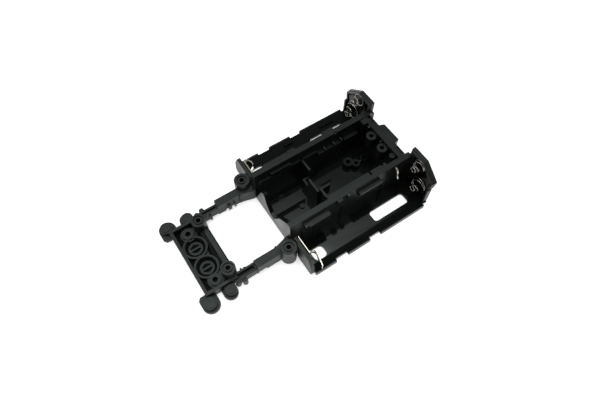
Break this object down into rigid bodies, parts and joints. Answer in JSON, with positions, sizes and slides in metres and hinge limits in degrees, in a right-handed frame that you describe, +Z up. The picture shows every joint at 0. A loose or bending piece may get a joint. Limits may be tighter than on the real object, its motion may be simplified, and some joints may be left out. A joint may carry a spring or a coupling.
{
  "type": "model car chassis",
  "caption": "Open black plastic chassis of a small model car, with a central electronics tub, two side battery bays and sprung metal contacts.",
  "frame": {"origin": "on the supporting surface, under the middle of the object's box", "axes": "+X toward the car's front, +Y to its left, +Z up"},
  "size_m": [0.0834, 0.0496, 0.0171],
  "materials": {
    "black_plastic": "satin moulded plastic, very dark grey",
    "nickel_sheet": "thin nickel-plated sheet",
    "spring_wire": "bright plated spring wire"
  },
  "bodies": {
    "chassis": {"front_tray": "black_plastic", "tub_front_wall": "black_plastic", "tub_floor": "black_plastic", "tub_partition": "black_plastic", "tub_rear_wall": "black_plastic", "front_pad_left": "black_plastic", "front_pad_right": "black_plastic", "rear_pad_left": "black_plastic", "rear_pad_right": "black_plastic", "side_rail_left": "black_plastic", "side_rail_right": "black_plastic", "spine_left": "black_plastic", "spine_right": "black_plastic", "bay_floor_left": "black_plastic", "bay_floor_right": "black_plastic", "bay_front_wall_left": "black_plastic", "bay_front_wall_right": "black_plastic", "bay_end_wall_left": "black_plastic", "bay_end_wall_right": "black_plastic", "front_contact_left": "nickel_sheet", "front_contact_right": "nickel_sheet", "rear_contact_left": "nickel_sheet", "rear_contact_right": "nickel_sheet", "side_contact_left": "nickel_sheet", "lower_spring_left": "spring_wire", "lower_spring_right": "spring_wire", "upper_spring_left": "spring_wire", "upper_spring_right": "spring_wire"},
    "front_leaf_left": {"front_leaf_left": "nickel_sheet"},
    "front_leaf_right": {"front_leaf_right": "nickel_sheet"},
    "lower_spring_tip_left": {"lower_spring_tip_left": "spring_wire"},
    "lower_spring_tip_right": {"lower_spring_tip_right": "spring_wire"},
    "upper_spring_tip_left": {"upper_spring_tip_left": "spring_wire"},
    "upper_spring_tip_right": {"upper_spring_tip_right": "spring_wire"}
  },
  "joints": [
    {"name": "front_leaf_left_flex", "type": "hinge", "parent": "chassis", "child": "front_leaf_left", "pos_m": [0.00533, 0.0176, 0.00445], "axis": [0, 0, -1], "range_deg": [0, 10], "stiffness_Nm_per_rad": 0.05},
    {"name": "front_leaf_right_flex", "type": "hinge", "parent": "chassis", "child": "front_leaf_right", "pos_m": [0.00533, -0.0176, 0.00445], "axis": [0, 0, 1], "range_deg": [0, 10], "stiffness_Nm_per_rad": 0.05},
    {"name": "lower_spring_left_travel", "type": "slide", "parent": "chassis", "child": "lower_spring_tip_left", "axis": [-1, 0, 0], "range_m": [0, 0.0014], "stiffness_N_per_m": 400, "deforming": ["lower_spring_left"]},
    {"name": "lower_spring_right_travel", "type": "slide", "parent": "chassis", "child": "lower_spring_tip_right", "axis": [-1, 0, 0], "range_m": [0, 0.0014], "stiffness_N_per_m": 400, "deforming": ["lower_spring_right"]},
    {"name": "upper_spring_left_travel", "type": "slide", "parent": "chassis", "child": "upper_spring_tip_left", "axis": [-1, 0, 0], "range_m": [0, 0.0014], "stiffness_N_per_m": 400, "deforming": ["upper_spring_left"]},
    {"name": "upper_spring_right_travel", "type": "slide", "parent": "chassis", "child": "upper_spring_tip_right", "axis": [-1, 0, 0], "range_m": [0, 0.0014], "stiffness_N_per_m": 400, "deforming": ["upper_spring_right"]}
  ]
}
